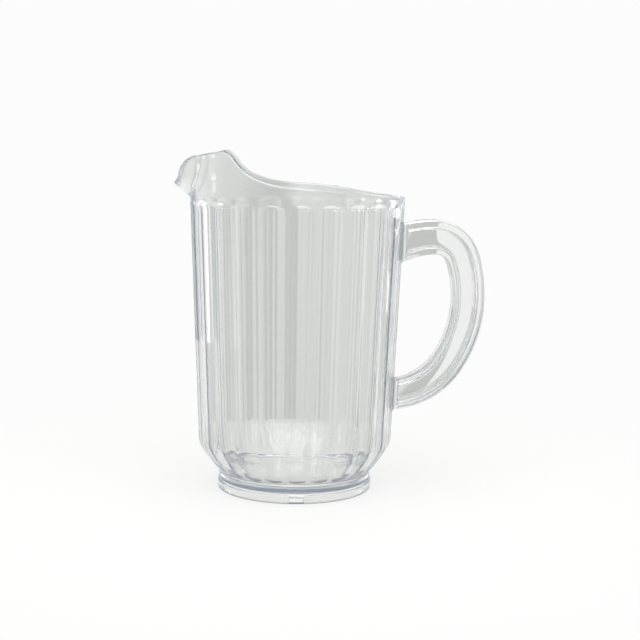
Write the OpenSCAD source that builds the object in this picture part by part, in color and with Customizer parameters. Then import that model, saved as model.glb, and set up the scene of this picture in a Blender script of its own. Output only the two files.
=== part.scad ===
// Beer pitcher: a clear fluted vessel with a pulled pouring lip and an I-section handle.
// Millimetres, Z up. The foot stands on z = 0 and the body axis is the Z axis.
// The handle points along +X and the pouring lip along -X.

/* [Vessel] */
// Outside radius of the plain collar, and of the flute crests just below it
collar_r = 64.2; // [56:0.2:76]
// Level where the fluted wall ends and the plain collar begins
collar_z = 174.4; // [160:0.2:200]
// Crest radius where the straight wall runs into the shoulder
shoulder_r = 58.6; // [52:0.2:70]
// Level where the straight wall runs into the shoulder
shoulder_z = 31; // [29:0.2:36]
// Radius of the tight bend at the top of the shoulder
shoulder_bend_r = 12; // [8:0.5:20]
// Radius of the long sweep from that bend down to the neck
shoulder_sweep_r = 58; // [45:1:64]
// Radius of the hollow where the shoulder meets the neck
neck_hollow_r = 3; // [2:0.2:5]
// Thickness of the wall, the collar and the lip
wall = 3.2; // [2:0.1:4.5]

/* [Flutes] */
// Number of flutes round the wall
flute_count = 24; // [16:1:36]
// Hollow radius of a flute at the top of the wall
flute_r = 63; // [40:1:120]
// Share of its pitch that a flute takes, the rest is the crest between two flutes
flute_share = 0.94; // [0.8:0.01:0.97]
// Height of the arched upper end of a flute
flute_arch = 4.6; // [2:0.2:10]
// Height of the scalloped lower end of a flute
flute_scallop = 5; // [2:0.2:8]
// Plain strip between the top of the arches and the collar
flute_margin = 0.6; // [0.2:0.1:4]

/* [Rim and lip] */
// Height of the rim at the handle
rim_back_z = 177.2; // [165:0.2:205]
// Height of the two rim peaks beside the lip
rim_peak_z = 203; // [185:0.5:235]
// How far the tip of the lip stands out from the collar
lip_reach = 9.6; // [6:0.2:16]
// Radius of the cone of the lip where it leaves the collar
lip_r = 21.8; // [16:0.2:26]
// Slope of the underside of the lip against the horizontal
lip_slope = 41; // [30:1:55]
// Height of the underside of the lip above the bottom of the collar
lip_root = 0.8; // [0.4:0.1:4]

/* [Base] */
// Height of the foot ring, and depth of the hollow under the floor
foot_h = 5; // [4.2:0.1:8]
// Width of the foot ring
foot_w = 4.6; // [3:0.1:8]
// How far the foot ring stands out from the neck above it
foot_step = 0.6; // [0.2:0.1:2]
// Rounding of the lower outside edge of the foot ring
foot_round = 1.6; // [0.4:0.1:3]
// Thickness of the floor
floor_t = 3; // [2:0.1:5]
// Radius of the hollow between floor and wall inside the vessel
floor_hollow_r = 8; // [4:0.5:12]
// Width of the drain notch in the foot ring
notch_w = 9; // [4:0.5:16]
// Height of the drain notch
notch_h = 3.4; // [1:0.1:4]

/* [Handle] */
// Height of the outer edge of the handle at the wall
handle_z = 160.4; // [145:0.2:180]
// Rise of the upper arm where it leaves the wall
handle_rise = 18; // [0:1:25]
// Outside radius of the upper arm
arm_r = 60; // [40:1:120]
// Outside radius of the knuckle corner
knuckle_r = 28.4; // [24:0.2:40]
// Outside radius of the grip
grip_r = 83; // [60:1:120]
// Outside radius of the heel that leads to the lower root
heel_r = 52; // [35:1:70]
// Depth of the handle section at the upper root, from the outer to the inner edge
arm_d = 21; // [18:0.2:24]
// Depth of the handle section at the lower root
heel_d = 17.6; // [15:0.2:21]
// Width of both rails
rail_w = 15; // [11:0.5:20]
// Thickness of the outer rail
outer_rail_t = 5; // [3:0.1:6.5]
// Thickness of the inner rail
inner_rail_t = 4.4; // [3:0.1:6]
// Thickness of the web between the rails
web_t = 3.4; // [2:0.1:6]
// Thickness of both roots between the wall and the ends of the handle
root_t = 3.2; // [2:0.1:8]

/* [Hidden] */
$fn = 192;

clear_body = [0.80, 0.84, 0.85, 0.55];
clear_rim = [0.74, 0.80, 0.83, 0.60];
clear_handle = [0.70, 0.77, 0.80, 0.65];

// Length by which a cutter runs past what it cuts.
spare = 5;

// Directions and arcs in a plane. A heading is an angle, a positive turn goes to the right.
function ahead(a) = [cos(a), sin(a)];
function right_of(a) = [sin(a), -cos(a)];
function arc_points(p, a, r, turn, n) =
    [for (k = [1:n]) p + sign(turn) * r * (right_of(a) - right_of(a - turn * k / n))];
function last(list) = list[len(list) - 1];
function reversed(list) = [for (i = [len(list) - 1:-1:0]) list[i]];

// Smooth curve through a list of knots.
function blend(a, b, c, d, t) =
    0.5 * (2 * b + (c - a) * t + (2 * a - 5 * b + 4 * c - d) * t * t + (3 * b - a - 3 * c + d) * t * t * t);
function through(knots, n) = [
    for (i = [1:len(knots) - 3])
        for (k = [0:n - 1])
            blend(knots[i - 1], knots[i], knots[i + 1], knots[i + 2], k / n)
];

// Outside of the vessel below the collar, from the top down: wall, bend, sweep, hollow, neck.
bend_to = 28;
sweep_to = 45;
wall_lean = atan((collar_r - shoulder_r) / (collar_z - shoulder_z));
wall_down = -90 - wall_lean;
wall_top = [collar_r, collar_z];
wall_end = [shoulder_r, shoulder_z];
bend = arc_points(wall_end, wall_down, shoulder_bend_r, bend_to - wall_lean, 4);
sweep = arc_points(last(bend), -90 - bend_to, shoulder_sweep_r, sweep_to - bend_to, 6);
hollow = arc_points(last(sweep), -90 - sweep_to, neck_hollow_r, -sweep_to, 4);
neck_r = last(hollow).x;
shoulder_outside = concat([wall_end], bend, sweep, hollow);
outside = concat([wall_top], shoulder_outside);

// Inside of the vessel, one wall thickness in, down to the edge of the floor.
floor_z = foot_h + floor_t;
collar_in_r = collar_r - wall / cos(wall_lean);
in_end = wall_end + wall * right_of(wall_down);
in_bend = arc_points(in_end, wall_down, shoulder_bend_r - wall, bend_to - wall_lean, 4);
in_sweep = arc_points(last(in_bend), -90 - bend_to, shoulder_sweep_r - wall, sweep_to - bend_to, 6);
hollow_drop = floor_hollow_r * (1 - cos(90 - sweep_to));
slope_len = (last(in_sweep).y - floor_z - hollow_drop) / cos(sweep_to);
in_slope = last(in_sweep) + slope_len * ahead(-90 - sweep_to);
in_hollow = arc_points(in_slope, -90 - sweep_to, floor_hollow_r, 90 - sweep_to, 5);
floor_r = last(in_hollow).x;
shoulder_inside = concat([in_end], in_bend, in_sweep, [in_slope], in_hollow);

// Crest radius of the wall at a level.
crest_table = [for (p = reversed(outside)) [p.y, p.x]];
function crest_r(z) = lookup(z, crest_table);

// Depth of a flute below the crests. It runs out to nothing at both ends.
flute_axis = collar_r + flute_r;
flute_edge = flute_share * 180 / flute_count;
flute_top = collar_z - flute_margin;
flute_rise = 1.2;
flute_low = last(hollow).y + flute_rise;
function full_depth(r) =
    r - flute_axis + sqrt(pow(flute_axis - r * cos(flute_edge), 2) + pow(r * sin(flute_edge), 2));
function top_share(z) = 1 - pow(max(0, (z - flute_top + flute_arch) / flute_arch), 2);
function low_share(z) = 1 - pow(max(0, (flute_low + flute_scallop - z) / flute_scallop), 2);
function flute_depth(z) = full_depth(crest_r(z)) * min(top_share(z), low_share(z));
function flute_floor(z) = flute_axis - crest_r(z) + flute_depth(z);

// Levels of the cutter of a flute. They keep off the levels where the outside of the vessel turns.
scallop_over = 0.83;
scallop_gap = 0.45;
bend_gap = 1.7;
arch_over = 0.5;
function levels(from, to, n) = [for (k = [0:n]) from + (to - from) * k / n];
scallop_levels = levels(flute_low - scallop_over, flute_low + flute_scallop - scallop_gap, 4);
bend_levels = levels(flute_low + flute_scallop + scallop_gap, shoulder_z + bend_gap, 6);
arch_levels = levels(flute_top - flute_arch, flute_top + arch_over, 5);
shoulder_levels = concat(scallop_levels, bend_levels);
wall_levels = concat([bend_levels[5], bend_levels[6]], arch_levels);
cutter_t = 2.5;
cutter_spread = 1.02;
cutter_half = asin(flute_share * cutter_spread * collar_r * sin(180 / flute_count) / flute_r);

// Rim line seen from the side: [distance from the axis / collar_r, share of the rise of the rim].
rim_rise = rim_peak_z - rim_back_z;
rim_knots = [
    [1.20, -0.02], [1.08, -0.01], [0.89, 0.00], [0.74, 0.03], [0.51, 0.12], [0.28, 0.19], [0.00, 0.22],
    [-0.19, 0.27], [-0.34, 0.37], [-0.45, 0.50], [-0.54, 0.70], [-0.60, 0.89], [-0.67, 1.00],
    [-0.77, 0.96], [-0.87, 0.92], [-0.955, 0.87]
];
// Edge of the lip seen from the side: [share of lip_reach, share of the rise of the rim].
lip_knots = [
    [0.00, 0.82], [0.25, 0.74], [0.47, 0.62], [0.60, 0.49], [0.73, 0.37], [1.00, 0.265], [1.30, 0.15]
];
rim_line = concat(
    [for (k = rim_knots) [k.x * collar_r, rim_back_z + k.y * rim_rise]],
    [for (k = lip_knots) [-collar_r - k.x * lip_reach, rim_back_z + k.y * rim_rise]]
);
trim_low = collar_z - spare;
trim_far = collar_r + lip_reach + spare;

// Cone of the lip, lying on its side with the apex in front of the tip.
lip_axis_z = collar_z + lip_root + lip_r;
lip_apex = collar_r + lip_r / tan(lip_slope);
lip_cone_h = lip_apex - collar_in_r * cos(45);

// Outer edge of the handle as a chain of tangent arcs: [radius, turn, steps].
// It starts on the wall and runs on straight into the vessel at both ends.
arcs = [[arm_r, handle_rise, 5], [knuckle_r, 71, 16], [grip_r, 52, 12], [heel_r, 51, 12]];
handle_start = [crest_r(handle_z), handle_z];
function turned(n) = n == 0 ? 0 : turned(n - 1) + arcs[n - 1][1];
function arc_heading(n) = handle_rise - turned(n);
function arc_run(n) = arc_points(arc_start(n), arc_heading(n), arcs[n][0], arcs[n][1], arcs[n][2]);
function arc_start(n) = n == 0 ? handle_start : last(arc_run(n - 1));
heel_end = len(arcs);
handle_edge = concat([handle_start], [for (n = [0:heel_end - 1]) for (p = arc_run(n)) p]);
handle_headings = concat(
    [handle_rise],
    [for (n = [0:heel_end - 1]) for (k = [1:arcs[n][2]]) arc_heading(n) - arcs[n][1] * k / arcs[n][2]]
);
run_on = 16;
handle_last = len(handle_edge) - 1;

// Depth of the section at a point of the outer edge. It follows the turn from arm_d to heel_d.
function section_d(i) = arm_d + (heel_d - arm_d) * (handle_rise - handle_headings[i]) / turned(heel_end);

// Line along the handle, at an inset from its outer edge (side 0) or from its inner edge (side 1).
function handle_point(i, side, inset) =
    handle_edge[i] + (side * section_d(i) + inset) * right_of(handle_headings[i]);
function handle_line(side, inset) = concat(
    [handle_point(0, side, inset) - run_on * ahead(handle_headings[0])],
    [for (i = [0:handle_last]) handle_point(i, side, inset)],
    [handle_point(handle_last, side, inset) + run_on * ahead(handle_headings[handle_last])]
);
handle_mid_z = (handle_z + last(handle_edge).y) / 2;

// The four lines that bound the rails and the web.
outer_face = handle_line(0, 0);
outer_seam = handle_line(0, outer_rail_t);
inner_seam = handle_line(1, -inner_rail_t);
inner_face = handle_line(1, 0);

// Solid outside shape of the vessel below the collar, without flutes.
module vessel_solid() {
    rotate_extrude()
        polygon(concat([[0, collar_z]], outside, [[neck_r, foot_h], [0, foot_h]]));
}

// One flute on the +X side, as the space that it takes from the vessel between two levels.
module flute_space(levels) {
    floor_line = [for (z = levels) [flute_floor(z), z]];
    sky_line = [for (z = reversed(levels)) [flute_floor(z) - cutter_t, z]];
    translate([flute_axis, 0, 0])
        rotate_extrude(angle = 2 * cutter_half, start = 180 - cutter_half)
            polygon(concat(floor_line, sky_line));
}

// Space under the rim line, across the whole vessel.
module under_rim() {
    rotate([90, 0, 0])
        linear_extrude(height = 2 * trim_far, center = true)
            polygon(concat(through(rim_line, 3), [[-trim_far, trim_low], [trim_far, trim_low]]));
}

// Cone of the lip, drawn in by a thickness.
module lip_cone(inset) {
    translate([inset / sin(lip_slope) - lip_apex, 0, lip_axis_z])
        rotate([0, 90, 0])
            cylinder(h = lip_cone_h, r1 = 0, r2 = lip_cone_h * tan(lip_slope));
}

// Bar along the handle between two of its lines, running on into the vessel.
module handle_bar(near, far, w) {
    rotate([90, 0, 0])
        linear_extrude(height = w, center = true)
            polygon(concat(near, reversed(far)));
}

// Straight wall filled solid and thickened outwards.
module wall_solid(skin) {
    translate([0, 0, shoulder_z])
        cylinder(h = collar_z - shoulder_z, r1 = shoulder_r + skin, r2 = collar_r + skin);
}

// Part of a handle bar that stands clear of the roots.
module clear_bar(near, far, w) {
    difference() {
        handle_bar(near, far, w);
        wall_solid(root_t);
    }
}

// Full handle section within the skin of the wall, above or below a level, cut to the fluted wall.
module handle_root(low, high) {
    difference() {
        intersection() {
            handle_bar(outer_face, inner_face, rail_w);
            wall_solid(root_t);
            translate([0, -rail_w, low])
                cube([2 * collar_r, 2 * rail_w, high - low]);
        }
        difference() {
            vessel_solid();
            flute_space(wall_levels);
        }
    }
}

// Solid of revolution with a flute at every step round it.
module fluted_ring(profile, levels) {
    difference() {
        rotate_extrude()
            polygon(profile);
        for (i = [0:flute_count - 1])
            rotate([0, 0, i * 360 / flute_count])
                flute_space(levels);
    }
}

module fluted_body() {
    color(clear_body)
        fluted_ring([wall_top, wall_end, in_end, [collar_in_r, collar_z]], wall_levels);
}

module fluted_shoulder() {
    base_edge = [[neck_r, foot_h], [floor_r, foot_h]];
    color(clear_body)
        fluted_ring(concat(shoulder_outside, base_edge, reversed(shoulder_inside)), shoulder_levels);
}

module rim_collar() {
    color(clear_rim)
        difference() {
            intersection() {
                translate([0, 0, collar_z])
                    difference() {
                        cylinder(h = rim_peak_z - collar_z + spare, r = collar_r);
                        translate([0, 0, -spare])
                            cylinder(h = rim_peak_z - collar_z + 3 * spare, r = collar_in_r);
                    }
                under_rim();
            }
            lip_cone(0);
        }
}

module pouring_lip() {
    color(clear_rim)
        intersection() {
            difference() {
                lip_cone(0);
                lip_cone(wall);
                cylinder(h = rim_peak_z + spare, r = collar_in_r);
                translate([-trim_far, -trim_far, 0])
                    cube([2 * trim_far, 2 * trim_far, collar_z]);
            }
            under_rim();
        }
}

module base_floor() {
    color(clear_body)
        translate([0, 0, foot_h])
            cylinder(h = floor_t, r = floor_r);
}

module foot_ring() {
    foot_r = neck_r + foot_step;
    foot_edge = arc_points([foot_r - foot_round, 0], 0, foot_round, -90, 4);
    color(clear_rim)
        difference() {
            rotate_extrude()
                polygon(concat(
                    [[foot_r - foot_w, foot_h], [foot_r - foot_w, 0], [foot_r - foot_round, 0]],
                    foot_edge,
                    [[foot_r, foot_h - foot_step], [neck_r, foot_h]]
                ));
            translate([-notch_w / 2, -foot_r - spare, -spare])
                cube([notch_w, foot_w + 2 * spare, notch_h + spare]);
        }
}

module handle_outer_rail() {
    color(clear_handle)
        clear_bar(outer_face, outer_seam, rail_w);
}

module handle_inner_rail() {
    color(clear_handle)
        clear_bar(inner_seam, inner_face, rail_w);
}

module handle_web() {
    color(clear_handle)
        clear_bar(outer_seam, inner_seam, web_t);
}

module upper_handle_root() {
    color(clear_handle)
        handle_root(handle_mid_z, collar_z);
}

module lower_handle_root() {
    color(clear_handle)
        handle_root(shoulder_z, handle_mid_z);
}

fluted_body();
fluted_shoulder();
rim_collar();
pouring_lip();
base_floor();
foot_ring();
handle_outer_rail();
handle_inner_rail();
handle_web();
upper_handle_root();
lower_handle_root();
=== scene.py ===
# Clear bar pitcher: one clear moulding with flutes, a pulled pouring lip and an I-section handle.
# Lengths are in millimetres and angles in degrees. A mesh turns its points into metres.

import math

import bmesh
import bpy
import numpy as np
from mathutils import Matrix, Vector

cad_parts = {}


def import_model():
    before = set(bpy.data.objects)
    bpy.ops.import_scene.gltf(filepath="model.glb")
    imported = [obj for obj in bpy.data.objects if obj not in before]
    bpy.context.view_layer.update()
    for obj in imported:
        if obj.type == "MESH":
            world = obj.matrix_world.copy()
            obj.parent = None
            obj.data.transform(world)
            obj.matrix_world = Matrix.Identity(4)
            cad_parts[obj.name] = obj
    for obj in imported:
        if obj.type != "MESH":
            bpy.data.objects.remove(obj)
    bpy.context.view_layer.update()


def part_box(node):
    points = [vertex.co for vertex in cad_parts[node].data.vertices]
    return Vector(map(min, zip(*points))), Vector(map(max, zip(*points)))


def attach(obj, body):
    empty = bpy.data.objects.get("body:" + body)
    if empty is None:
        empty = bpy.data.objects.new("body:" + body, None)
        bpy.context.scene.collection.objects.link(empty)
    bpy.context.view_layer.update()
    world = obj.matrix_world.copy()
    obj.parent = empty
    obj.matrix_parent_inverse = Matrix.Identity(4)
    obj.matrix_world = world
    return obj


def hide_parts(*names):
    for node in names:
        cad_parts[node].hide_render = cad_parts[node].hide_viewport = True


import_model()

MM = 0.001
BODY = "root"


# Sizes that the frame gives

def node_box(node):
    """Lowest and highest corner of a node of the frame, in millimetres."""
    low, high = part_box(node)
    return low / MM, high / MM


COLLAR_R = node_box("rim_collar")[1].y
COLLAR_Z = node_box("rim_collar")[0].z
RIM_PEAK_Z = node_box("rim_collar")[1].z
LIP_TIP = -node_box("pouring_lip")[0].x
FLOOR_R = node_box("base_floor")[1].x
FLOOR_Z = node_box("base_floor")[1].z
FOOT_H = node_box("foot_ring")[1].z
FOOT_R = node_box("foot_ring")[1].x
RAIL_HALF_W = node_box("handle_outer_rail")[1].y
WEB_HALF_T = node_box("handle_web")[1].y


# Sizes of the moulding that the frame does not give

WALL = 3.2
SHOULDER_R = 58.6
SHOULDER_Z = 31
SHOULDER_BEND_R = 12
SHOULDER_SWEEP_R = 58
NECK_HOLLOW_R = 3
BEND_TO = 28
SWEEP_TO = 45
FLOOR_HOLLOW_R = 8

FLUTES = 24
FLUTE_DEPTH = 0.88
FLUTE_SHARE = 0.94
FLUTE_ARCH = 4.1
FLUTE_SCALLOP = 2.6
FLUTE_MARGIN = 0.6
FLUTE_RISE = 2.4
CREST_SOFTNESS = 0.3

RIM_BACK_Z = 177.2
RIM_ROUND = 1.6
RIM_SHARE = 0.4
RIM_INSET = 0.06
LIP_REACH = LIP_TIP - COLLAR_R
LIP_R = 21.8
LIP_SLOPE = 41
LIP_ROOT = 0.8
LIP_FILLET = 1.0
LIP_HALF_ANGLE = 34

FOOT_W = 4.6
FOOT_STEP = 0.6
FOOT_ROUND = 1.6
FOOT_INNER_ROUND = 0.5
NECK_FILLET = 0.4
NOTCH_W = 9
NOTCH_H = 3.4

HANDLE_Z = 160.4
HANDLE_RISE = 18
ARM_D = 21
HEEL_D = 17.6
OUTER_RAIL_T = 5
INNER_RAIL_T = 4.4
RAIL_ROUND = 1.3
RAIL_INSET = 0.05
WEB_FILLET = 1.0
ROOT_T = 3.2
ROOT_FLARE = 1.4
CLEAR_OF_ROOT = 1

# Numbers of steps in the curves and rows of the meshes.
BEND_STEPS = 12
SWEEP_STEPS = 10
HOLLOW_STEPS = 8
FILLET_STEPS = 6
CORNER_STEPS = 5
EDGE_STEPS = 4
HEEL_STEPS = 8
ROOT_STEPS = 8
RIM_CURVE_STEPS = 8
ARCH_ROWS = 18
WALL_ROWS = 12
INSIDE_ROWS = 8
SCALLOP_ROWS = 20
NOTCH_COLUMNS = 8

# Two solids of the one moulding lap by this much, so that light meets their joint faces in order.
LAP = 0.02
WELD = 1e-4
COPY_WELD = 1e-3


# Plane geometry

def ahead(heading):
    a = math.radians(heading)
    return Vector((math.cos(a), math.sin(a)))


def right_of(heading):
    a = math.radians(heading)
    return Vector((math.sin(a), -math.cos(a)))


def arc(start, heading, radius, turn, steps):
    """Points after start along an arc. A positive turn goes to the right."""
    side = math.copysign(radius, turn)
    return [start + side * (right_of(heading) - right_of(heading - turn * k / steps))
            for k in range(1, steps + 1)]


def levels(start, end, steps):
    """Values from start up to, but without, end."""
    return [start + (end - start) * k / steps for k in range(steps)]


def soft_min(a, b, softness):
    """The smaller of two lengths, with the corner between them rounded off."""
    overlap = max(softness - abs(a - b), 0)
    return min(a, b) - overlap * overlap / (4 * softness)


def soft_max(a, b, softness):
    return -soft_min(-a, -b, softness)


def smooth_curve(knots, steps):
    """Points of a Catmull-Rom curve through the knots, from the second to the last but one."""
    points = []
    for a, b, c, d in zip(knots, knots[1:], knots[2:], knots[3:]):
        for k in range(steps):
            t = k / steps
            points.append(0.5 * (2 * b + (c - a) * t + (2 * a - 5 * b + 4 * c - d) * t * t
                                 + (3 * b - a - 3 * c + d) * t ** 3))
    return points


# Outline of the vessel

WALL_LEAN = math.degrees(math.atan((COLLAR_R - SHOULDER_R) / (COLLAR_Z - SHOULDER_Z)))
WALL_DOWN = -90 - WALL_LEAN
COLLAR_IN_R = COLLAR_R - WALL / math.cos(math.radians(WALL_LEAN))


def outside_outline():
    """Crest line of the vessel from the collar down to the neck, as (radius, height)."""
    end = Vector((SHOULDER_R, SHOULDER_Z))
    bend = arc(end, WALL_DOWN, SHOULDER_BEND_R, BEND_TO - WALL_LEAN, BEND_STEPS)
    sweep = arc(bend[-1], -90 - BEND_TO, SHOULDER_SWEEP_R, SWEEP_TO - BEND_TO, SWEEP_STEPS)
    hollow = arc(sweep[-1], -90 - SWEEP_TO, NECK_HOLLOW_R, -SWEEP_TO, HOLLOW_STEPS)
    return [Vector((COLLAR_R, COLLAR_Z)), end, *bend, *sweep, *hollow]


def inside_outline():
    """Inner line of the shoulder, from the straight wall down to the edge of the floor."""
    end = Vector((SHOULDER_R, SHOULDER_Z)) + WALL * right_of(WALL_DOWN)
    bend = arc(end, WALL_DOWN, SHOULDER_BEND_R - WALL, BEND_TO - WALL_LEAN, BEND_STEPS)
    sweep = arc(bend[-1], -90 - BEND_TO, SHOULDER_SWEEP_R - WALL, SWEEP_TO - BEND_TO, SWEEP_STEPS)
    floor_turn = 90 - SWEEP_TO
    drop = FLOOR_HOLLOW_R * (1 - math.cos(math.radians(floor_turn)))
    slope = (sweep[-1].y - FLOOR_Z - drop) / math.cos(math.radians(SWEEP_TO))
    slope_end = sweep[-1] + slope * ahead(-90 - SWEEP_TO)
    hollow = arc(slope_end, -90 - SWEEP_TO, FLOOR_HOLLOW_R, floor_turn, HOLLOW_STEPS)
    return [end, *bend, *sweep, slope_end, *hollow]


OUTSIDE = outside_outline()
INSIDE = inside_outline()
NECK = OUTSIDE[-1]


def crest_r(z):
    return float(np.interp(z, [p.y for p in reversed(OUTSIDE)], [p.x for p in reversed(OUTSIDE)]))


# Flutes: hollows about axes outside the wall, which run out to nothing at both ends

FLUTE_TOP = COLLAR_Z - FLUTE_MARGIN
FLUTE_LOW = NECK.y + FLUTE_RISE
PITCH = 360 / FLUTES
FLUTE_EDGE = math.radians(FLUTE_SHARE * PITCH / 2)


def flute_axis(crest):
    """Distance to the axis of a hollow that has the full depth and ends at both edges of the flute."""
    sagitta = crest * (1 - math.cos(FLUTE_EDGE))
    return FLUTE_DEPTH * (2 * crest - FLUTE_DEPTH) / 2 / (FLUTE_DEPTH - sagitta)


def flute_depth(z):
    up = 1 - max(0, (z - FLUTE_TOP + FLUTE_ARCH) / FLUTE_ARCH) ** 2
    down = 1 - max(0, (FLUTE_LOW + FLUTE_SCALLOP - z) / FLUTE_SCALLOP) ** 2
    return FLUTE_DEPTH * min(up, down)


def fluted_r(angle, z):
    """Outside radius of the wall at an angle from the middle of a flute."""
    angle = (angle + PITCH / 2) % PITCH - PITCH / 2
    crest = crest_r(z)
    axis = flute_axis(crest)
    hollow = axis - crest + flute_depth(z)
    a = math.radians(angle)
    floor = axis * math.cos(a) - math.sqrt(max(0, hollow ** 2 - (axis * math.sin(a)) ** 2))
    return soft_min(crest, floor, CREST_SOFTNESS)


# Rim and lip

RIM_RISE = RIM_PEAK_Z - RIM_BACK_Z
# Rim line from the handle to the lip: distance from the axis / collar radius, share of the rise.
RIM_KNOTS = [
    (1.20, -0.02), (1.08, -0.01), (0.89, 0.00), (0.74, 0.03), (0.51, 0.12), (0.28, 0.19), (0.00, 0.22),
    (-0.19, 0.27), (-0.34, 0.37), (-0.45, 0.50), (-0.54, 0.70), (-0.60, 0.89), (-0.67, 1.00),
    (-0.77, 0.96), (-0.87, 0.92), (-0.955, 0.87),
]
# Edge of the lip: share of the reach, share of the rise.
LIP_KNOTS = [
    (0.00, 0.82), (0.25, 0.74), (0.47, 0.62), (0.60, 0.49), (0.73, 0.37), (1.00, 0.265), (1.30, 0.15),
]


def rim_line():
    knots = [Vector((x * COLLAR_R, RIM_BACK_Z + s * RIM_RISE)) for x, s in RIM_KNOTS]
    knots += [Vector((-COLLAR_R - x * LIP_REACH, RIM_BACK_Z + s * RIM_RISE)) for x, s in LIP_KNOTS]
    return sorted((p.x, p.y) for p in smooth_curve(knots, RIM_CURVE_STEPS))


RIM_LINE = rim_line()
LIP_AXIS_Z = COLLAR_Z + LIP_ROOT + LIP_R
LIP_TAN = math.tan(math.radians(LIP_SLOPE))
LIP_APEX = COLLAR_R + LIP_R / LIP_TAN


def cone_r(angle, z, inset):
    """Distance from the axis to the cone of the lip, at an angle from the middle of the lip."""
    a = math.radians(angle)
    apex = LIP_APEX - inset / math.sin(math.radians(LIP_SLOPE))
    t2 = LIP_TAN ** 2
    h2 = (z - LIP_AXIS_Z) ** 2
    if abs(angle) > LIP_SLOPE or h2 > t2 * apex ** 2:
        return 0
    b = 2 * apex * t2 * math.cos(a)
    rest = b * b - 4 * (math.sin(a) ** 2 - t2 * math.cos(a) ** 2) * (h2 - t2 * apex ** 2)
    return 2 * (t2 * apex ** 2 - h2) / (b + math.sqrt(rest)) if rest > 0 else 0


def collar_wall(angle, z):
    """Outside and inside radius of the collar and the lip."""
    ease = min(1, max(0, (z - COLLAR_Z) / LIP_FILLET))
    outer = soft_max(COLLAR_R, cone_r(angle, z, 0), LIP_FILLET)
    inner = soft_max(COLLAR_IN_R, cone_r(angle, z, WALL), LIP_FILLET)
    return COLLAR_R + (outer - COLLAR_R) * ease, COLLAR_IN_R + (inner - COLLAR_IN_R) * ease


SEARCH_STEPS = 40


def rim_height(angle):
    """Height where the wall meets the rim line, measured RIM_SHARE of the way from its middle outwards."""
    low, high = COLLAR_Z, RIM_PEAK_Z + RIM_ROUND
    xs = [p[0] for p in RIM_LINE]
    zs = [p[1] for p in RIM_LINE]
    for _ in range(SEARCH_STEPS):
        z = (low + high) / 2
        outer, inner = collar_wall(angle, z)
        r = (outer + inner + RIM_SHARE * (outer - inner)) / 2
        if z < np.interp(-r * math.cos(math.radians(angle)), xs, zs):
            low = z
        else:
            high = z
    return low - RIM_INSET


# Meshes

def grid_quads(rows, columns, wrap_rows, wrap_columns):
    """Corner numbers of the quads of a grid of points, with the row that each starts from."""
    for i in range(rows if wrap_rows else rows - 1):
        for j in range(columns if wrap_columns else columns - 1):
            i2, j2 = (i + 1) % rows, (j + 1) % columns
            yield i, (i * columns + j, i * columns + j2, i2 * columns + j2, i2 * columns + j)


def grid_mesh(name, grid, wrap_rows=False, wrap_columns=False, joint_rows=(), caps=False):
    """Mesh of a grid of points. Quads that start from a joint row, and the caps, are joint faces."""
    rows, columns = len(grid), len(grid[0])
    points = [Vector(p) * MM for row in grid for p in row]
    quads = list(grid_quads(rows, columns, wrap_rows, wrap_columns))
    faces = [corners for _, corners in quads]
    joint = [row in joint_rows for row, _ in quads]
    if caps:
        for j in (0, columns - 1):
            for i in range(rows // 2 - 1):
                k = rows - 1 - i
                faces.append([row * columns + j for row in (i, i + 1, k - 1, k)])
                joint.append(True)
    mesh = bpy.data.meshes.new(name)
    mesh.from_pydata(points, [], faces)
    mesh.attributes.new("joint", "BOOLEAN", "FACE").data.foreach_set("value", joint)
    return mesh


SHARP = math.radians(32)


def clean(mesh):
    """Welds a mesh, turns its faces outwards, and shades it smooth up to its sharp edges."""
    bm = bmesh.new()
    bm.from_mesh(mesh)
    bmesh.ops.remove_doubles(bm, verts=bm.verts, dist=WELD * MM)
    bmesh.ops.dissolve_degenerate(bm, edges=bm.edges, dist=WELD * MM)
    bmesh.ops.recalc_face_normals(bm, faces=bm.faces)
    for face in bm.faces:
        face.smooth = True
    for edge in bm.edges:
        edge.smooth = edge.calc_face_angle(0) < SHARP
    bm.to_mesh(mesh)
    bm.free()


def piece(mesh, node):
    """Puts a finished mesh in the scene in place of a node of the frame."""
    clean(mesh)
    obj = bpy.data.objects.new(mesh.name, mesh)
    bpy.context.scene.collection.objects.link(obj)
    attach(obj, BODY)
    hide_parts(node)
    return obj


def finish_joints(mesh, plastic, joint):
    """Gives the outside of a solid the plastic, and its hidden joint faces the joint material."""
    mesh.materials.append(plastic)
    mesh.materials.append(joint)
    hidden = [int(face.value) for face in mesh.attributes["joint"].data]
    mesh.polygons.foreach_set("material_index", hidden)


# Materials

def linear(code):
    """Linear RGBA of an sRGB hex colour."""
    parts = [int(code[i:i + 2], 16) / 255 for i in (1, 3, 5)]
    return [c / 12.92 if c <= 0.04045 else ((c + 0.055) / 1.055) ** 2.4 for c in parts] + [1]


def add(tree, kind, links=None, **settings):
    """Adds a node. A link is a value or another node's output, settings are the node's own."""
    node = tree.nodes.new(kind)
    for key, value in settings.items():
        setattr(node, key, value)
    for key, value in (links or {}).items():
        socket = node.inputs[key]
        if isinstance(value, bpy.types.NodeSocket):
            tree.links.new(value, socket)
        else:
            socket.default_value = value
    return node


def math_node(tree, operation, a, b=0):
    """Output of a Math node."""
    return add(tree, "ShaderNodeMath", {0: a, 1: b}, operation=operation).outputs[0]


def mix_colour(tree, factor, a, b):
    """Output of a Mix node for two colours."""
    mix = add(tree, "ShaderNodeMix", {"Factor": factor, "A": a, "B": b}, data_type="RGBA")
    return mix.outputs["Result"]


def map_range(tree, value, start, end, low=0, high=1, kind="LINEAR"):
    """Output of a Map Range node that runs from low to high while the value runs from start to end."""
    return add(tree, "ShaderNodeMapRange", {
        "Value": value, "From Min": start, "From Max": end, "To Min": low, "To Max": high},
        interpolation_type=kind).outputs["Result"]


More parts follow.
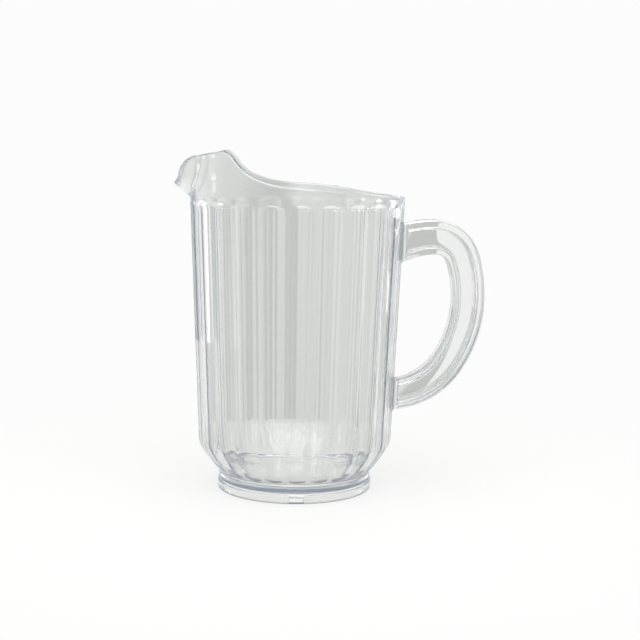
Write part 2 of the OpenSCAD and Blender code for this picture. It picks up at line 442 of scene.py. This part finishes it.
def new_material(name):
    material = bpy.data.materials.new(name)
    material.use_nodes = True
    material.node_tree.nodes.clear()
    return material, material.node_tree


# Clear moulded SAN: glossy, a faint neutral grey, with a thin veil of haze from use.
PLASTIC_TINT = "#F4F5F4"
PLASTIC_CLEARNESS = 0.94
PLASTIC_IOR = 1.57
FLOW_SIZE = 26
FLOW_HEIGHT = 0.02
HAZE_SIZE = 9
HAZE_FROM = 0.35
HAZE_TO = 0.75
CLEAN_ROUGHNESS = 0.015
HAZY_ROUGHNESS = 0.05
GUIDED_FROM = 4
GUIDED_LEAK = 0.85
# Painted blue-grey shade for the edges of the plastic.
PAINTED_EDGE_SHADE = "#C8D0DA"


def clear_san():
    material, tree = new_material("clear_moulded_SAN")
    place = add(tree, "ShaderNodeTexCoord").outputs["Object"]
    # Slow waves of the melt make the highlights run unevenly.
    flow = add(tree, "ShaderNodeTexNoise", {"Vector": place, "Scale": 1 / (FLOW_SIZE * MM), "Detail": 1})
    wave = add(tree, "ShaderNodeBump", {
        "Height": flow.outputs["Fac"], "Distance": FLOW_HEIGHT * MM, "Strength": 1})
    # A light haze from washing breaks the gloss in soft patches.
    haze = add(tree, "ShaderNodeTexNoise", {"Vector": place, "Scale": 1 / (HAZE_SIZE * MM), "Detail": 4})
    rough = map_range(tree, haze.outputs["Fac"], HAZE_FROM, HAZE_TO, CLEAN_ROUGHNESS, HAZY_ROUGHNESS)
    surface = add(tree, "ShaderNodeBsdfPrincipled", {
        "Base Color": linear(PLASTIC_TINT), "Roughness": rough, "IOR": PLASTIC_IOR,
        "Transmission Weight": PLASTIC_CLEARNESS, "Normal": wave.outputs["Normal"]})
    # Most of the light that the wall still guides after a few reflections inside it goes straight out
    # through a blue-grey transparent shader.
    # This is painted shade: it gives the edges their blue-grey lines, as if that light had come a long way
    # through the plastic.
    depth = add(tree, "ShaderNodeLightPath").outputs["Glossy Depth"]
    guided = math_node(tree, "GREATER_THAN", depth, GUIDED_FROM - 1)
    leak = math_node(tree, "MULTIPLY", guided, GUIDED_LEAK)
    out = add(tree, "ShaderNodeBsdfTransparent", {"Color": linear(PAINTED_EDGE_SHADE)})
    both = add(tree, "ShaderNodeMixShader", {0: leak, 1: surface.outputs[0], 2: out.outputs[0]})
    add(tree, "ShaderNodeOutputMaterial", {"Surface": both.outputs[0]})
    return material


def joint_face():
    """Inside the moulding there is no surface, so light goes straight through a joint face."""
    material, tree = new_material("clear_SAN_joint")
    surface = add(tree, "ShaderNodeBsdfPrincipled", {
        "Base Color": linear(PLASTIC_TINT), "IOR": PLASTIC_IOR, "Alpha": 0})
    add(tree, "ShaderNodeOutputMaterial", {"Surface": surface.outputs["BSDF"]})
    return material


plastic = clear_san()
joint = joint_face()


# Fluted rings: one strip of wall, repeated round the axis

def ring_tree():
    """Geometry Nodes that repeat a strip of wall round the Z axis and weld the copies."""
    tree = bpy.data.node_groups.new("flute_ring", "GeometryNodeTree")
    face = tree.interface
    face.new_socket("Strip", in_out="INPUT", socket_type="NodeSocketGeometry")
    face.new_socket("Flutes", in_out="INPUT", socket_type="NodeSocketInt")
    face.new_socket("Weld distance", in_out="INPUT", socket_type="NodeSocketFloat")
    face.new_socket("Plastic", in_out="INPUT", socket_type="NodeSocketMaterial")
    face.new_socket("Joint", in_out="INPUT", socket_type="NodeSocketMaterial")
    face.new_socket("Ring", in_out="OUTPUT", socket_type="NodeSocketGeometry")
    given = add(tree, "NodeGroupInput").outputs
    points = add(tree, "GeometryNodePoints", {"Count": given["Flutes"]})
    index = add(tree, "GeometryNodeInputIndex")
    step = math_node(tree, "DIVIDE", 2 * math.pi, given["Flutes"])
    turn = math_node(tree, "MULTIPLY", index.outputs["Index"], step)
    euler = add(tree, "ShaderNodeCombineXYZ", {"Z": turn})
    rotation = add(tree, "FunctionNodeEulerToRotation", {"Euler": euler.outputs["Vector"]})
    copies = add(tree, "GeometryNodeInstanceOnPoints", {
        "Points": points.outputs["Points"], "Instance": given["Strip"],
        "Rotation": rotation.outputs["Rotation"]})
    real = add(tree, "GeometryNodeRealizeInstances", {"Geometry": copies.outputs["Instances"]})
    welded = add(tree, "GeometryNodeMergeByDistance", {
        "Geometry": real.outputs["Geometry"], "Distance": given["Weld distance"]})
    hidden = add(tree, "GeometryNodeInputNamedAttribute", {"Name": "joint"}, data_type="BOOLEAN")
    clear = add(tree, "GeometryNodeSetMaterial", {
        "Geometry": welded.outputs["Geometry"], "Material": given["Plastic"]})
    done = add(tree, "GeometryNodeSetMaterial", {
        "Geometry": clear.outputs["Geometry"], "Material": given["Joint"],
        "Selection": hidden.outputs["Attribute"]})
    add(tree, "NodeGroupOutput", {"Ring": done.outputs["Geometry"]})
    return tree


def evaluated_mesh(source, tree, inputs):
    """Plain mesh that a tree makes of an object. The object is used up."""
    modifier = source.modifiers.new(tree.name, "NODES")
    modifier.node_group = tree
    for item in tree.interface.items_tree:
        if item.name in inputs:
            modifier[item.identifier] = inputs[item.name]
    shown = source.evaluated_get(bpy.context.evaluated_depsgraph_get())
    mesh = bpy.data.meshes.new_from_object(shown)
    bpy.data.objects.remove(source)
    return mesh


def repeat_round(strip, tree):
    """Plain mesh of a strip repeated round the axis."""
    source = bpy.data.objects.new(strip.name + "_strip", strip)
    bpy.context.scene.collection.objects.link(source)
    inputs = {"Flutes": FLUTES, "Weld distance": COPY_WELD * MM, "Plastic": plastic, "Joint": joint}
    mesh = evaluated_mesh(source, tree, inputs)
    mesh.name = strip.name
    return mesh


FLUTE_COLUMNS = 24


def strip_row(radius, z):
    """Points across one flute. The radius is a number, or a function of the angle."""
    row = []
    for j in range(FLUTE_COLUMNS + 1):
        angle = PITCH * (j / FLUTE_COLUMNS - 0.5)
        r = radius(angle) if callable(radius) else radius
        a = math.radians(angle)
        row.append((r * math.cos(a), r * math.sin(a), z))
    return row


def fluted_row(z):
    return strip_row(lambda angle: fluted_r(angle, z), z)


# The close rows at both ends of the flutes reach a little past them.
ARCH_SPARE = 1
SCALLOP_SPARE = 0.5


def fluted_body():
    arch_foot = FLUTE_TOP - FLUTE_ARCH - ARCH_SPARE
    heights = levels(COLLAR_Z, arch_foot, ARCH_ROWS) + levels(arch_foot, SHOULDER_Z, WALL_ROWS)
    outside = [fluted_row(z) for z in heights + [SHOULDER_Z - LAP]]
    start = INSIDE[0] - Vector((0, LAP))
    end = Vector((COLLAR_IN_R, COLLAR_Z))
    inner_line = [start.lerp(end, k / INSIDE_ROWS) for k in range(INSIDE_ROWS + 1)]
    inside = [strip_row(p.x, p.y) for p in inner_line]
    strip = grid_mesh("clear_body", outside + inside, wrap_rows=True,
                      joint_rows=(len(outside) - 1, len(outside) + len(inside) - 1))
    return piece(repeat_round(strip, ring), "fluted_body")


def fluted_shoulder():
    heights = [p.y for p in OUTSIDE[1:]]
    heights += levels(FLUTE_LOW + FLUTE_SCALLOP + ARCH_SPARE, FLUTE_LOW - SCALLOP_SPARE, SCALLOP_ROWS)
    heights = sorted(set(heights), reverse=True)
    fillet = arc(Vector((NECK.x, FOOT_H + NECK_FILLET)), -90, NECK_FILLET, -90, FILLET_STEPS)
    outside = [fluted_row(z) for z in heights] + [strip_row(p.x, p.y) for p in fillet]
    ring_in = FOOT_R - FOOT_W
    base = [strip_row(ring_in, FOOT_H), strip_row(FLOOR_R, FOOT_H)]
    inside = [strip_row(p.x, p.y) for p in reversed(INSIDE)]
    rows = outside + base + inside
    joints = (len(outside) - 1, len(outside) + 1, len(rows) - 1)
    strip = grid_mesh("clear_shoulder", rows, wrap_rows=True, joint_rows=joints)
    return piece(repeat_round(strip, ring), "fluted_shoulder")


# Collar and lip: one section of the wall, carried round the rim line

RIM_ROWS = 16
RIM_CAP = 10
COLLAR_STEP = 0.8
LIP_STEP = 0.5
LIP_EDGE = LIP_HALF_ANGLE + math.degrees(LAP / COLLAR_R)


def rim_section(angle):
    """Closed section of the collar: up the outside, over the rounded rim and down the inside."""
    spring = rim_height(angle) - RIM_ROUND
    foot = COLLAR_Z - LAP
    heights = [foot + (spring - foot) * k / RIM_ROWS for k in range(RIM_ROWS + 1)]
    section = [(collar_wall(angle, z)[0], z) for z in heights]
    for k in range(1, RIM_CAP):
        a = math.pi * k / RIM_CAP
        z = spring + RIM_ROUND * math.sin(a)
        outer, inner = collar_wall(angle, z)
        section.append(((outer + inner) / 2 + (outer - inner) / 2 * math.cos(a), z))
    section += [(collar_wall(angle, z)[1], z) for z in reversed(heights)]
    x, y = -math.cos(math.radians(angle)), math.sin(math.radians(angle))
    return [(r * x, r * y, z) for r, z in section]


def rim_piece(name, node, start, end, step):
    """Part of the rim between two angles from the middle of the lip."""
    count = round((end - start) / step)
    sections = [rim_section(start + (end - start) * k / count) for k in range(count + 1)]
    grid = [list(row) for row in zip(*sections)]
    mesh = grid_mesh(name, grid, wrap_rows=True, joint_rows=(len(grid) - 1,), caps=True)
    finish_joints(mesh, plastic, joint)
    return piece(mesh, node)


# Base

BASE_COLUMNS = 192


def revolve(profile, angles):
    """Rows of points: each point of a profile carried round the axis."""
    return [[(r * math.cos(math.radians(a)), r * math.sin(math.radians(a)), z) for a in angles]
            for r, z in profile]


def base_floor():
    """Floor disc."""
    angles = [360 * j / BASE_COLUMNS for j in range(BASE_COLUMNS)]
    edge = FLOOR_R + LAP
    top = [(0, FLOOR_Z), (FLOOR_R / 3, FLOOR_Z), (FLOOR_R * 2 / 3, FLOOR_Z), (edge, FLOOR_Z)]
    under = [(edge, FOOT_H), (FLOOR_R * 2 / 3, FOOT_H), (FLOOR_R / 3, FOOT_H), (0, FOOT_H)]
    mesh = grid_mesh("clear_floor", revolve(top + under, angles), wrap_columns=True,
                     joint_rows=(len(top) - 1,))
    finish_joints(mesh, plastic, joint)
    return piece(mesh, "base_floor")


def foot_ring():
    """Standing ring. Its section loses what lies below the drain notch along the front."""
    inner = FOOT_R - FOOT_W
    hollow_top = Vector((inner, FOOT_INNER_ROUND))
    heel_end = Vector((FOOT_R - FOOT_ROUND, 0))
    step_end = Vector((FOOT_R, FOOT_H - FOOT_STEP))
    profile = [
        Vector((inner, FOOT_H + LAP)),
        Vector((inner, NOTCH_H)),
        hollow_top,
        *arc(hollow_top, -90, FOOT_INNER_ROUND, -90, EDGE_STEPS),
        heel_end,
        *arc(heel_end, 0, FOOT_ROUND, -90, HEEL_STEPS),
        Vector((FOOT_R, NOTCH_H)),
        step_end,
        *arc(step_end, 90, FOOT_STEP, -90, CORNER_STEPS),
        Vector((NECK.x + NECK_FILLET, FOOT_H + LAP)),
    ]
    half = math.degrees(math.asin(NOTCH_W / 2 / FOOT_R))
    front = -90
    plain = [front + half + (360 - 2 * half) * j / BASE_COLUMNS for j in range(BASE_COLUMNS + 1)]
    notch = [front - half + 2 * half * j / NOTCH_COLUMNS for j in range(NOTCH_COLUMNS + 1)]
    full = revolve([(p.x, p.y) for p in profile], plain)
    cut = revolve([(p.x, max(p.y, NOTCH_H)) for p in profile], notch)
    grid = [a + b for a, b in zip(full, cut)]
    mesh = grid_mesh("clear_foot_ring", grid, wrap_rows=True, wrap_columns=True,
                     joint_rows=(len(grid) - 1,))
    finish_joints(mesh, plastic, joint)
    return piece(mesh, "foot_ring")


# Handle

# Arcs of the outer edge, from the upper root down: radius, turn to the right, number of steps.
HANDLE_ARCS = [(60, HANDLE_RISE, 10), (28.4, 71, 32), (83, 52, 24), (52, 51, 24)]


def handle_stations():
    """Points of the outer edge from the upper root to the lower, each with its heading and depth."""
    whole = sum(turn for _, turn, _ in HANDLE_ARCS)
    point = Vector((crest_r(HANDLE_Z), HANDLE_Z))
    heading = HANDLE_RISE
    stations = [(point, heading, ARM_D)]
    for radius, turn, steps in HANDLE_ARCS:
        for k, p in enumerate(arc(point, heading, radius, turn, steps), 1):
            here = heading - turn * k / steps
            depth = ARM_D + (HEEL_D - ARM_D) * (HANDLE_RISE - here) / whole
            stations.append((p, here, depth))
        point, heading, _ = stations[-1]
    return stations


STATIONS = handle_stations()
SEAT_STEPS = 12


def to_wall(point, heading, skin):
    """Slides a point of the handle along the heading until it lies a skin outside the fluted wall."""
    p = Vector(point)
    way = Vector((ahead(heading).x, 0, ahead(heading).y))
    for _ in range(SEAT_STEPS):
        angle = math.degrees(math.atan2(p.y, p.x))
        off = fluted_r(angle, p.z) + skin - math.hypot(p.x, p.y)
        p = p + way * (off / way.x)
    return p


def at_station(station, inset, y):
    """Point at a station, an inset below the outer edge and y to the side."""
    point, heading, _ = station
    p = point + inset * right_of(heading)
    return Vector((p.x, y, p.y))


def clear_stations(inset):
    """Stations at which a line of the handle stands clear of both roots."""
    kept = []
    for station in STATIONS:
        p = at_station(station, inset(station), 0)
        if p.x - crest_r(p.z) > ROOT_T + CLEAR_OF_ROOT:
            kept.append(station)
    return kept


def rounded_box(near, far, half_w, radius):
    """Section between two depths below the outer edge, with rounded corners, as (depth, side)."""
    corners = [(far - radius, half_w - radius, 0), (near + radius, half_w - radius, 90),
               (near + radius, radius - half_w, 180), (far - radius, radius - half_w, 270)]
    points = []
    for d, y, start in corners:
        for k in range(CORNER_STEPS + 1):
            a = math.radians(start + 90 * k / CORNER_STEPS)
            points.append((d + radius * math.cos(a), y + radius * math.sin(a)))
    return points


def web_section(station):
    """Section of the web, with a hollow fillet where it meets each rail."""
    near = OUTER_RAIL_T - LAP
    far = station[2] - INNER_RAIL_T + LAP
    half = []
    for d, start in ((near + WEB_FILLET, 180), (far - WEB_FILLET, 270)):
        for k in range(CORNER_STEPS + 1):
            a = math.radians(start + 90 * k / CORNER_STEPS)
            half.append((d + WEB_FILLET * math.cos(a), WEB_HALF_T + WEB_FILLET * (1 + math.sin(a))))
    return half + [(d, -y) for d, y in reversed(half)]


def closed_bar(name, rows):
    """Mesh of a bar given as rows of points round it, closed at both ends."""
    mesh = grid_mesh(name, rows, wrap_columns=True)
    count = len(rows[0])
    bm = bmesh.new()
    bm.from_mesh(mesh)
    bm.verts.ensure_lookup_table()
    bm.faces.new(bm.verts[:count])
    bm.faces.new(bm.verts[-count:])
    bm.to_mesh(mesh)
    bm.free()
    mesh.materials.append(plastic)
    return mesh


def rail_tree():
    """Geometry Nodes that carry a section along a path."""
    tree = bpy.data.node_groups.new("rail_sweep", "GeometryNodeTree")
    face = tree.interface
    face.new_socket("Path", in_out="INPUT", socket_type="NodeSocketGeometry")
    face.new_socket("Section", in_out="INPUT", socket_type="NodeSocketObject")
    face.new_socket("Plastic", in_out="INPUT", socket_type="NodeSocketMaterial")
    face.new_socket("Rail", in_out="OUTPUT", socket_type="NodeSocketGeometry")
    given = add(tree, "NodeGroupInput").outputs
    path = add(tree, "GeometryNodeMeshToCurve", {"Mesh": given["Path"]})
    outline = add(tree, "GeometryNodeObjectInfo", {"Object": given["Section"]})
    section = add(tree, "GeometryNodeMeshToCurve", {"Mesh": outline.outputs["Geometry"]})
    swept = add(tree, "GeometryNodeCurveToMesh", {
        "Curve": path.outputs["Curve"], "Profile Curve": section.outputs["Curve"], "Fill Caps": True})
    real = add(tree, "GeometryNodeRealizeInstances", {"Geometry": swept.outputs["Mesh"]})
    done = add(tree, "GeometryNodeSetMaterial", {
        "Geometry": real.outputs["Geometry"], "Material": given["Plastic"]})
    add(tree, "NodeGroupOutput", {"Rail": done.outputs["Geometry"]})
    return tree


def line_object(name, points, closed):
    """Object of loose edges through points."""
    count = len(points)
    edges = [(i, (i + 1) % count) for i in range(count if closed else count - 1)]
    mesh = bpy.data.meshes.new(name)
    mesh.from_pydata([Vector(p) * MM for p in points], edges, [])
    obj = bpy.data.objects.new(name, mesh)
    bpy.context.scene.collection.objects.link(obj)
    return obj


def handle_rail(name, node, inset, thickness, tree):
    """Rail at an inset of its middle below the outer edge, with both ends seated on the roots."""
    stations = clear_stations(inset)
    middle = [at_station(s, inset(s), 0) for s in stations]
    skin = ROOT_T - LAP
    ends = [to_wall(middle[0], stations[0][1], skin), to_wall(middle[-1], stations[-1][1], skin)]
    path = line_object(name + "_path", [ends[0], *middle, ends[1]], closed=False)
    outline = [(y, d, 0) for d, y in rounded_box(-thickness / 2, thickness / 2, RAIL_HALF_W, RAIL_ROUND)]
    section = line_object(name + "_section", outline, closed=True)
    mesh = evaluated_mesh(path, tree, {"Section": section, "Plastic": plastic})
    mesh.name = name
    count = len(outline)
    for v in mesh.vertices[:count]:
        v.co = to_wall(v.co / MM, stations[0][1], skin) * MM
    for v in mesh.vertices[-count:]:
        v.co = to_wall(v.co / MM, stations[-1][1], skin) * MM
    bpy.data.objects.remove(section)
    return piece(mesh, node)


def handle_web():
    """Web between the two rails."""
    stations = clear_stations(lambda s: s[2] / 2)
    rows = [[at_station(s, d, y) for d, y in web_section(s)] for s in stations]
    skin = ROOT_T - LAP
    first = [to_wall(p, stations[0][1], skin) for p in rows[0]]
    last = [to_wall(p, stations[-1][1], skin) for p in rows[-1]]
    return piece(closed_bar("clear_web", [first, *rows, last]), "handle_web")


def handle_root(name, node, station):
    """Block between the wall and the end of the handle, with a fillet where it meets the wall."""
    rows = []
    for k in range(ROOT_STEPS + 1):
        skin = ROOT_T * (1 - k / ROOT_STEPS)
        short = max(0, ROOT_FLARE - skin)
        flare = ROOT_FLARE - math.sqrt(ROOT_FLARE ** 2 - short ** 2)
        outline = rounded_box(-flare, station[2] + flare, RAIL_HALF_W + flare, RAIL_ROUND + flare)
        rows.append([to_wall(at_station(station, d, y), station[1], skin - LAP) for d, y in outline])
    return piece(closed_bar(name, rows), node)


# Studio

CAMERA_DISTANCE = 800
CAMERA_HEIGHT = 208
CAMERA_ROUND = -1.8
CAMERA_YAW = 1.035
CAMERA_PITCH = 7.56
CAMERA_ROLL = 0.857
CAMERA_LENS = 75.07


def camera():
    """Camera in front of the pitcher, a little to the lip's side, with a slight roll."""
    data = bpy.data.cameras.new("camera")
    data.lens = CAMERA_LENS
    obj = bpy.data.objects.new("camera", data)
    bpy.context.scene.collection.objects.link(obj)
    round_z = Matrix.Rotation(math.radians(CAMERA_ROUND), 4, "Z")
    place = Matrix.Translation(Vector((0, -CAMERA_DISTANCE, CAMERA_HEIGHT)) * MM)
    yaw = Matrix.Rotation(math.radians(-CAMERA_YAW), 4, "Z")
    pitch = Matrix.Rotation(math.radians(90 - CAMERA_PITCH), 4, "X")
    roll = Matrix.Rotation(math.radians(CAMERA_ROLL), 4, "Z")
    obj.matrix_world = round_z @ place @ yaw @ pitch @ roll
    bpy.context.scene.camera = obj


BACKGROUND = "#FCFCFC"
FLOOR_SHADE = "#F2F2F0"
STUDIO_LIGHT = 0.6


def seen_ray(tree):
    """1 for rays that show the background: straight, mirrored or through clear plastic."""
    path = add(tree, "ShaderNodeLightPath").outputs
    either = math_node(tree, "MAXIMUM", path["Is Camera Ray"], path["Is Glossy Ray"])
    return math_node(tree, "MAXIMUM", either, path["Is Transmission Ray"])


def world():
    """Even pale studio."""
    scene = bpy.context.scene
    scene.world = bpy.data.worlds.new("studio")
    scene.world.use_nodes = True
    tree = scene.world.node_tree
    tree.nodes.clear()
    light = add(tree, "ShaderNodeBackground", {"Color": linear(FLOOR_SHADE), "Strength": STUDIO_LIGHT})
    seen = add(tree, "ShaderNodeBackground", {"Color": linear(BACKGROUND), "Strength": 1})
    mix = add(tree, "ShaderNodeMixShader", {0: seen_ray(tree), 1: light.outputs[0], 2: seen.outputs[0]})
    add(tree, "ShaderNodeOutputWorld", {"Surface": mix.outputs[0]})


def stage_piece(mesh, material):
    """Puts a mesh in the scene as part of the studio."""
    mesh.materials.append(material)
    obj = bpy.data.objects.new(mesh.name, mesh)
    bpy.context.scene.collection.objects.link(obj)
    return obj


# Paper that the pitcher stands on

FLOOR_SIZE = 8000
FLOOR_GLOW = 0.8
SHADOW_REACH = 150
FLOOR_FADE = 400
# Painted caustic streaks, which only the plastic shows.
STREAKS_PER_FLUTE = 1.5
STREAK_LOW = 0.35
STREAK_HIGH = 0.65
STREAK_DARK = 0.6
STREAKS_FROM = 50
STREAKS_FULL = 100
STREAKS_TO = 180
STREAKS_END = 216
# Painted contact shadow under the foot ring.
PAINTED_CONTACT_SHADOW = "#7C828C"
CONTACT_EDGE = 0.8


def painted_caustic_streaks(tree, place, distance):
    """Painted caustic streaks of light and shade on the paper behind the pitcher, where the flutes gather
    the light that they let through.
    """
    way = add(tree, "ShaderNodeSeparateXYZ", {"Vector": place}).outputs
    angle = math_node(tree, "ARCTAN2", way["X"], way["Y"])
    noise = add(tree, "ShaderNodeTexNoise", {
        "W": angle, "Scale": STREAKS_PER_FLUTE * FLUTES, "Detail": 1}, noise_dimensions="1D")
    streak = map_range(tree, noise.outputs["Fac"], STREAK_LOW, STREAK_HIGH, STREAK_DARK, 1)
    near = map_range(tree, distance, STREAKS_FROM * MM, STREAKS_FULL * MM)
    far = map_range(tree, distance, STREAKS_TO * MM, STREAKS_END * MM, 1, 0)
    reach = math_node(tree, "MULTIPLY", near, far)
    through = add(tree, "ShaderNodeLightPath").outputs["Is Transmission Ray"]
    where = math_node(tree, "MULTIPLY", reach, through)
    return add(tree, "ShaderNodeMix", {"Factor": where, "A": 1.0, "B": streak}).outputs["Result"]


def painted_contact_shadow(tree, distance):
    """Glow colour of the paper, with a painted contact shadow that is dark right under the foot ring."""
    off = math_node(tree, "SUBTRACT", distance, (FOOT_R - FOOT_W / 2) * MM)
    clear_of_ring = math_node(tree, "ABSOLUTE", off)
    lit = map_range(tree, clear_of_ring, (FOOT_W / 2 - CONTACT_EDGE) * MM, FOOT_W / 2 * MM)
    return mix_colour(tree, lit, linear(PAINTED_CONTACT_SHADOW), linear(BACKGROUND))


def floor():
    """Pale paper that keeps the shadow of the pitcher and fades into the background further off."""
    material, tree = new_material("pale_paper_sweep")
    place = add(tree, "ShaderNodeTexCoord").outputs["Object"]
    distance = add(tree, "ShaderNodeVectorMath", {0: place}, operation="LENGTH").outputs["Value"]
    fade = map_range(tree, distance, SHADOW_REACH * MM, FLOOR_FADE * MM, FLOOR_GLOW, 1, "SMOOTHSTEP")
    share = math_node(tree, "MULTIPLY", seen_ray(tree), fade)
    paper = add(tree, "ShaderNodeBsdfDiffuse", {"Color": linear(FLOOR_SHADE)})
    # The glow holds the painted contact shadow and the painted caustic streaks.
    glow = add(tree, "ShaderNodeEmission", {
        "Color": painted_contact_shadow(tree, distance), "Strength": painted_caustic_streaks(tree, place, distance)})
    top = add(tree, "ShaderNodeMixShader", {0: share, 1: paper.outputs[0], 2: glow.outputs[0]})
    # Seen from below, the paper is not there.
    below = add(tree, "ShaderNodeNewGeometry").outputs["Backfacing"]
    gone = add(tree, "ShaderNodeBsdfTransparent")
    sheet = add(tree, "ShaderNodeMixShader", {0: below, 1: top.outputs[0], 2: gone.outputs[0]})
    add(tree, "ShaderNodeOutputMaterial", {"Surface": sheet.outputs[0]})
    half = FLOOR_SIZE / 2
    grid = [[(-half, -half, 0), (half, -half, 0)], [(-half, half, 0), (half, half, 0)]]
    stage_piece(grid_mesh("floor", grid), material)


# Glowing cards behind the pitcher, which only the plastic shows. They paint bands and shade lines into it.

# Flags: dark cards whose painted shade gives the edges of the plastic slate lines.
LEFT_FLAG_SHADE = "#A4AEBB"
RIGHT_FLAG_SHADE = "#D0D6DC"
FLAG_DISTANCE = 560
BACKDROP_DISTANCE = 190
BACKDROP_FOLD_SHADE = "#C2C4C3"
BACKDROP_FOLD_LIGHT = "#ECEDED"
BACKDROP_FOLD = 40
FOLD_LOW = 0.3
FOLD_HIGH = 0.7
BACKDROP_MIDDLE = 32
BACKDROP_SIDE = 80
PAINTED_SIDE_LIGHT = 0.55
BACKDROP_END = 82
BACKDROP_END_EDGE = 4
BACKDROP_END_PAINTED_SHADOW = "#C4C6C4"
CARD_FADE = 0.3
ARC_STEPS = 24


def emit(tree, colour):
    """Makes a material show a colour as it is written."""
    light = add(tree, "ShaderNodeEmission", {"Color": colour, "Strength": 1})
    add(tree, "ShaderNodeOutputMaterial", {"Surface": light.outputs[0]})


def flag_paper(name, shade):
    """Glowing paper of painted shade, which fades from its shade in the middle to the background at its
    edges.
    """
    material, tree = new_material(name)
    cover = add(tree, "ShaderNodeAttribute", attribute_name="cover").outputs["Fac"]
    emit(tree, mix_colour(tree, cover, linear(BACKGROUND), linear(shade)))
    return material


def backdrop_cloth():
    """Glowing grey cloth with painted fold shade: soft upright folds as darker and lighter bands, which
    the flutes draw as bands. It is lighter to its sides, which is painted light.
    """
    material, tree = new_material("grey_backdrop_cloth")
    place = add(tree, "ShaderNodeTexCoord").outputs["Object"]
    across = add(tree, "ShaderNodeSeparateXYZ", {"Vector": place}).outputs["X"]
    # Painted fold shade: the folds show as darker and lighter bands.
    noise = add(tree, "ShaderNodeTexNoise", {
        "W": across, "Scale": 1 / (BACKDROP_FOLD * MM), "Detail": 1}, noise_dimensions="1D")
    fold = map_range(tree, noise.outputs["Fac"], FOLD_LOW, FOLD_HIGH)
    fold_shading = mix_colour(tree, fold, linear(BACKDROP_FOLD_SHADE), linear(BACKDROP_FOLD_LIGHT))
    # Painted light: the cloth is lighter to its sides.
    aside = math_node(tree, "ABSOLUTE", across)
    side = map_range(tree, aside, BACKDROP_MIDDLE * MM, BACKDROP_SIDE * MM, 0, PAINTED_SIDE_LIGHT, "SMOOTHSTEP")
    lit = mix_colour(tree, side, fold_shading, linear(BACKGROUND))
    # Behind the handle the cloth has a painted shadow, which makes it grey again.
    end = map_range(tree, across, BACKDROP_END * MM, (BACKDROP_END + BACKDROP_END_EDGE) * MM)
    emit(tree, mix_colour(tree, end, lit, linear(BACKDROP_END_PAINTED_SHADOW)))
    return material


def behind(azimuth, distance):
    """Point on the floor, at an angle from straight behind the pitcher."""
    a = math.radians(azimuth)
    return distance * math.sin(a), distance * math.cos(a)


def arc_card(name, start, end, distance, heights, material):
    """Card bent round the pitcher from one angle to another, with its height at each."""
    foot, middle, top, cover = [], [], [], []
    for k in range(ARC_STEPS + 1):
        share = k / ARC_STEPS
        x, y = behind(start + (end - start) * share, distance)
        z = heights[0] + (heights[1] - heights[0]) * share
        foot.append((x, y, 0))
        middle.append((x, y, z * (1 - CARD_FADE)))
        top.append((x, y, z))
        cover.append(min(1, share / CARD_FADE, (1 - share) / CARD_FADE))
    mesh = grid_mesh(name, [foot, middle, top])
    covers = cover + cover + [0.0] * len(cover)
    mesh.attributes.new("cover", "FLOAT", "POINT").data.foreach_set("value", covers)
    obj = stage_piece(mesh, material)
    obj.visible_camera = False
    obj.visible_shadow = False
    obj.visible_diffuse = False


# Lamps

PITCHER_MIDDLE = (0, 0, 100)


def softbox(name, place, width, height, watts, at=PITCHER_MIDDLE):
    """Area lamp that looks at a point."""
    data = bpy.data.lights.new(name, "AREA")
    data.shape = "RECTANGLE"
    data.size = width * MM
    data.size_y = height * MM
    data.energy = watts
    obj = bpy.data.objects.new(name, data)
    bpy.context.scene.collection.objects.link(obj)
    spot = Vector(place) * MM
    look = Vector(at) * MM - spot
    obj.matrix_world = Matrix.Translation(spot) @ look.to_track_quat("-Z", "Y").to_matrix().to_4x4()
    obj.visible_camera = False


def strip_lamp(name, azimuth, distance, width, height, watts):
    """Upright strip light that stands on the floor, at an angle from straight behind the pitcher."""
    middle = height / 2
    softbox(name, (*behind(azimuth, distance), middle), width, height, watts, at=(0, 0, middle))


# The whole scene

bpy.context.scene.view_settings.view_transform = "Standard"
camera()
world()
floor()
arc_card("backdrop", start=-25, end=34, distance=BACKDROP_DISTANCE, heights=(212, 190),
         material=backdrop_cloth())
# Flags: glowing cards of painted shade, which draw slate lines along the edges of the plastic.
arc_card("left_flag", start=-48, end=-23, distance=FLAG_DISTANCE, heights=(340, 340),
         material=flag_paper("left_flag", LEFT_FLAG_SHADE))
arc_card("right_flag", start=34, end=52, distance=FLAG_DISTANCE, heights=(600, 600),
         material=flag_paper("right_flag", RIGHT_FLAG_SHADE))
strip_lamp("left_strip", azimuth=-62, distance=520, width=70, height=150, watts=0.08)
strip_lamp("right_strip", azimuth=62, distance=700, width=100, height=170, watts=0.15)
softbox("back_softbox", place=(0, 1500, 490), width=600, height=110, watts=0.7)
softbox("key_softbox", place=(0, -420, 950), width=1400, height=700, watts=8)
softbox("top_softbox", place=(0, 100, 1400), width=500, height=500, watts=4)

ring = ring_tree()
fluted_body()
fluted_shoulder()
rim_piece("clear_collar", "rim_collar", LIP_HALF_ANGLE, 360 - LIP_HALF_ANGLE, COLLAR_STEP)
rim_piece("clear_lip", "pouring_lip", -LIP_EDGE, LIP_EDGE, LIP_STEP)
base_floor()
foot_ring()
rail = rail_tree()
handle_rail("clear_outer_rail", "handle_outer_rail", lambda s: OUTER_RAIL_T / 2 + RAIL_INSET,
            OUTER_RAIL_T, rail)
handle_rail("clear_inner_rail", "handle_inner_rail", lambda s: s[2] - INNER_RAIL_T / 2,
            INNER_RAIL_T, rail)
handle_web()
handle_root("clear_upper_root", "upper_handle_root", STATIONS[0])
handle_root("clear_lower_root", "lower_handle_root", STATIONS[-1])
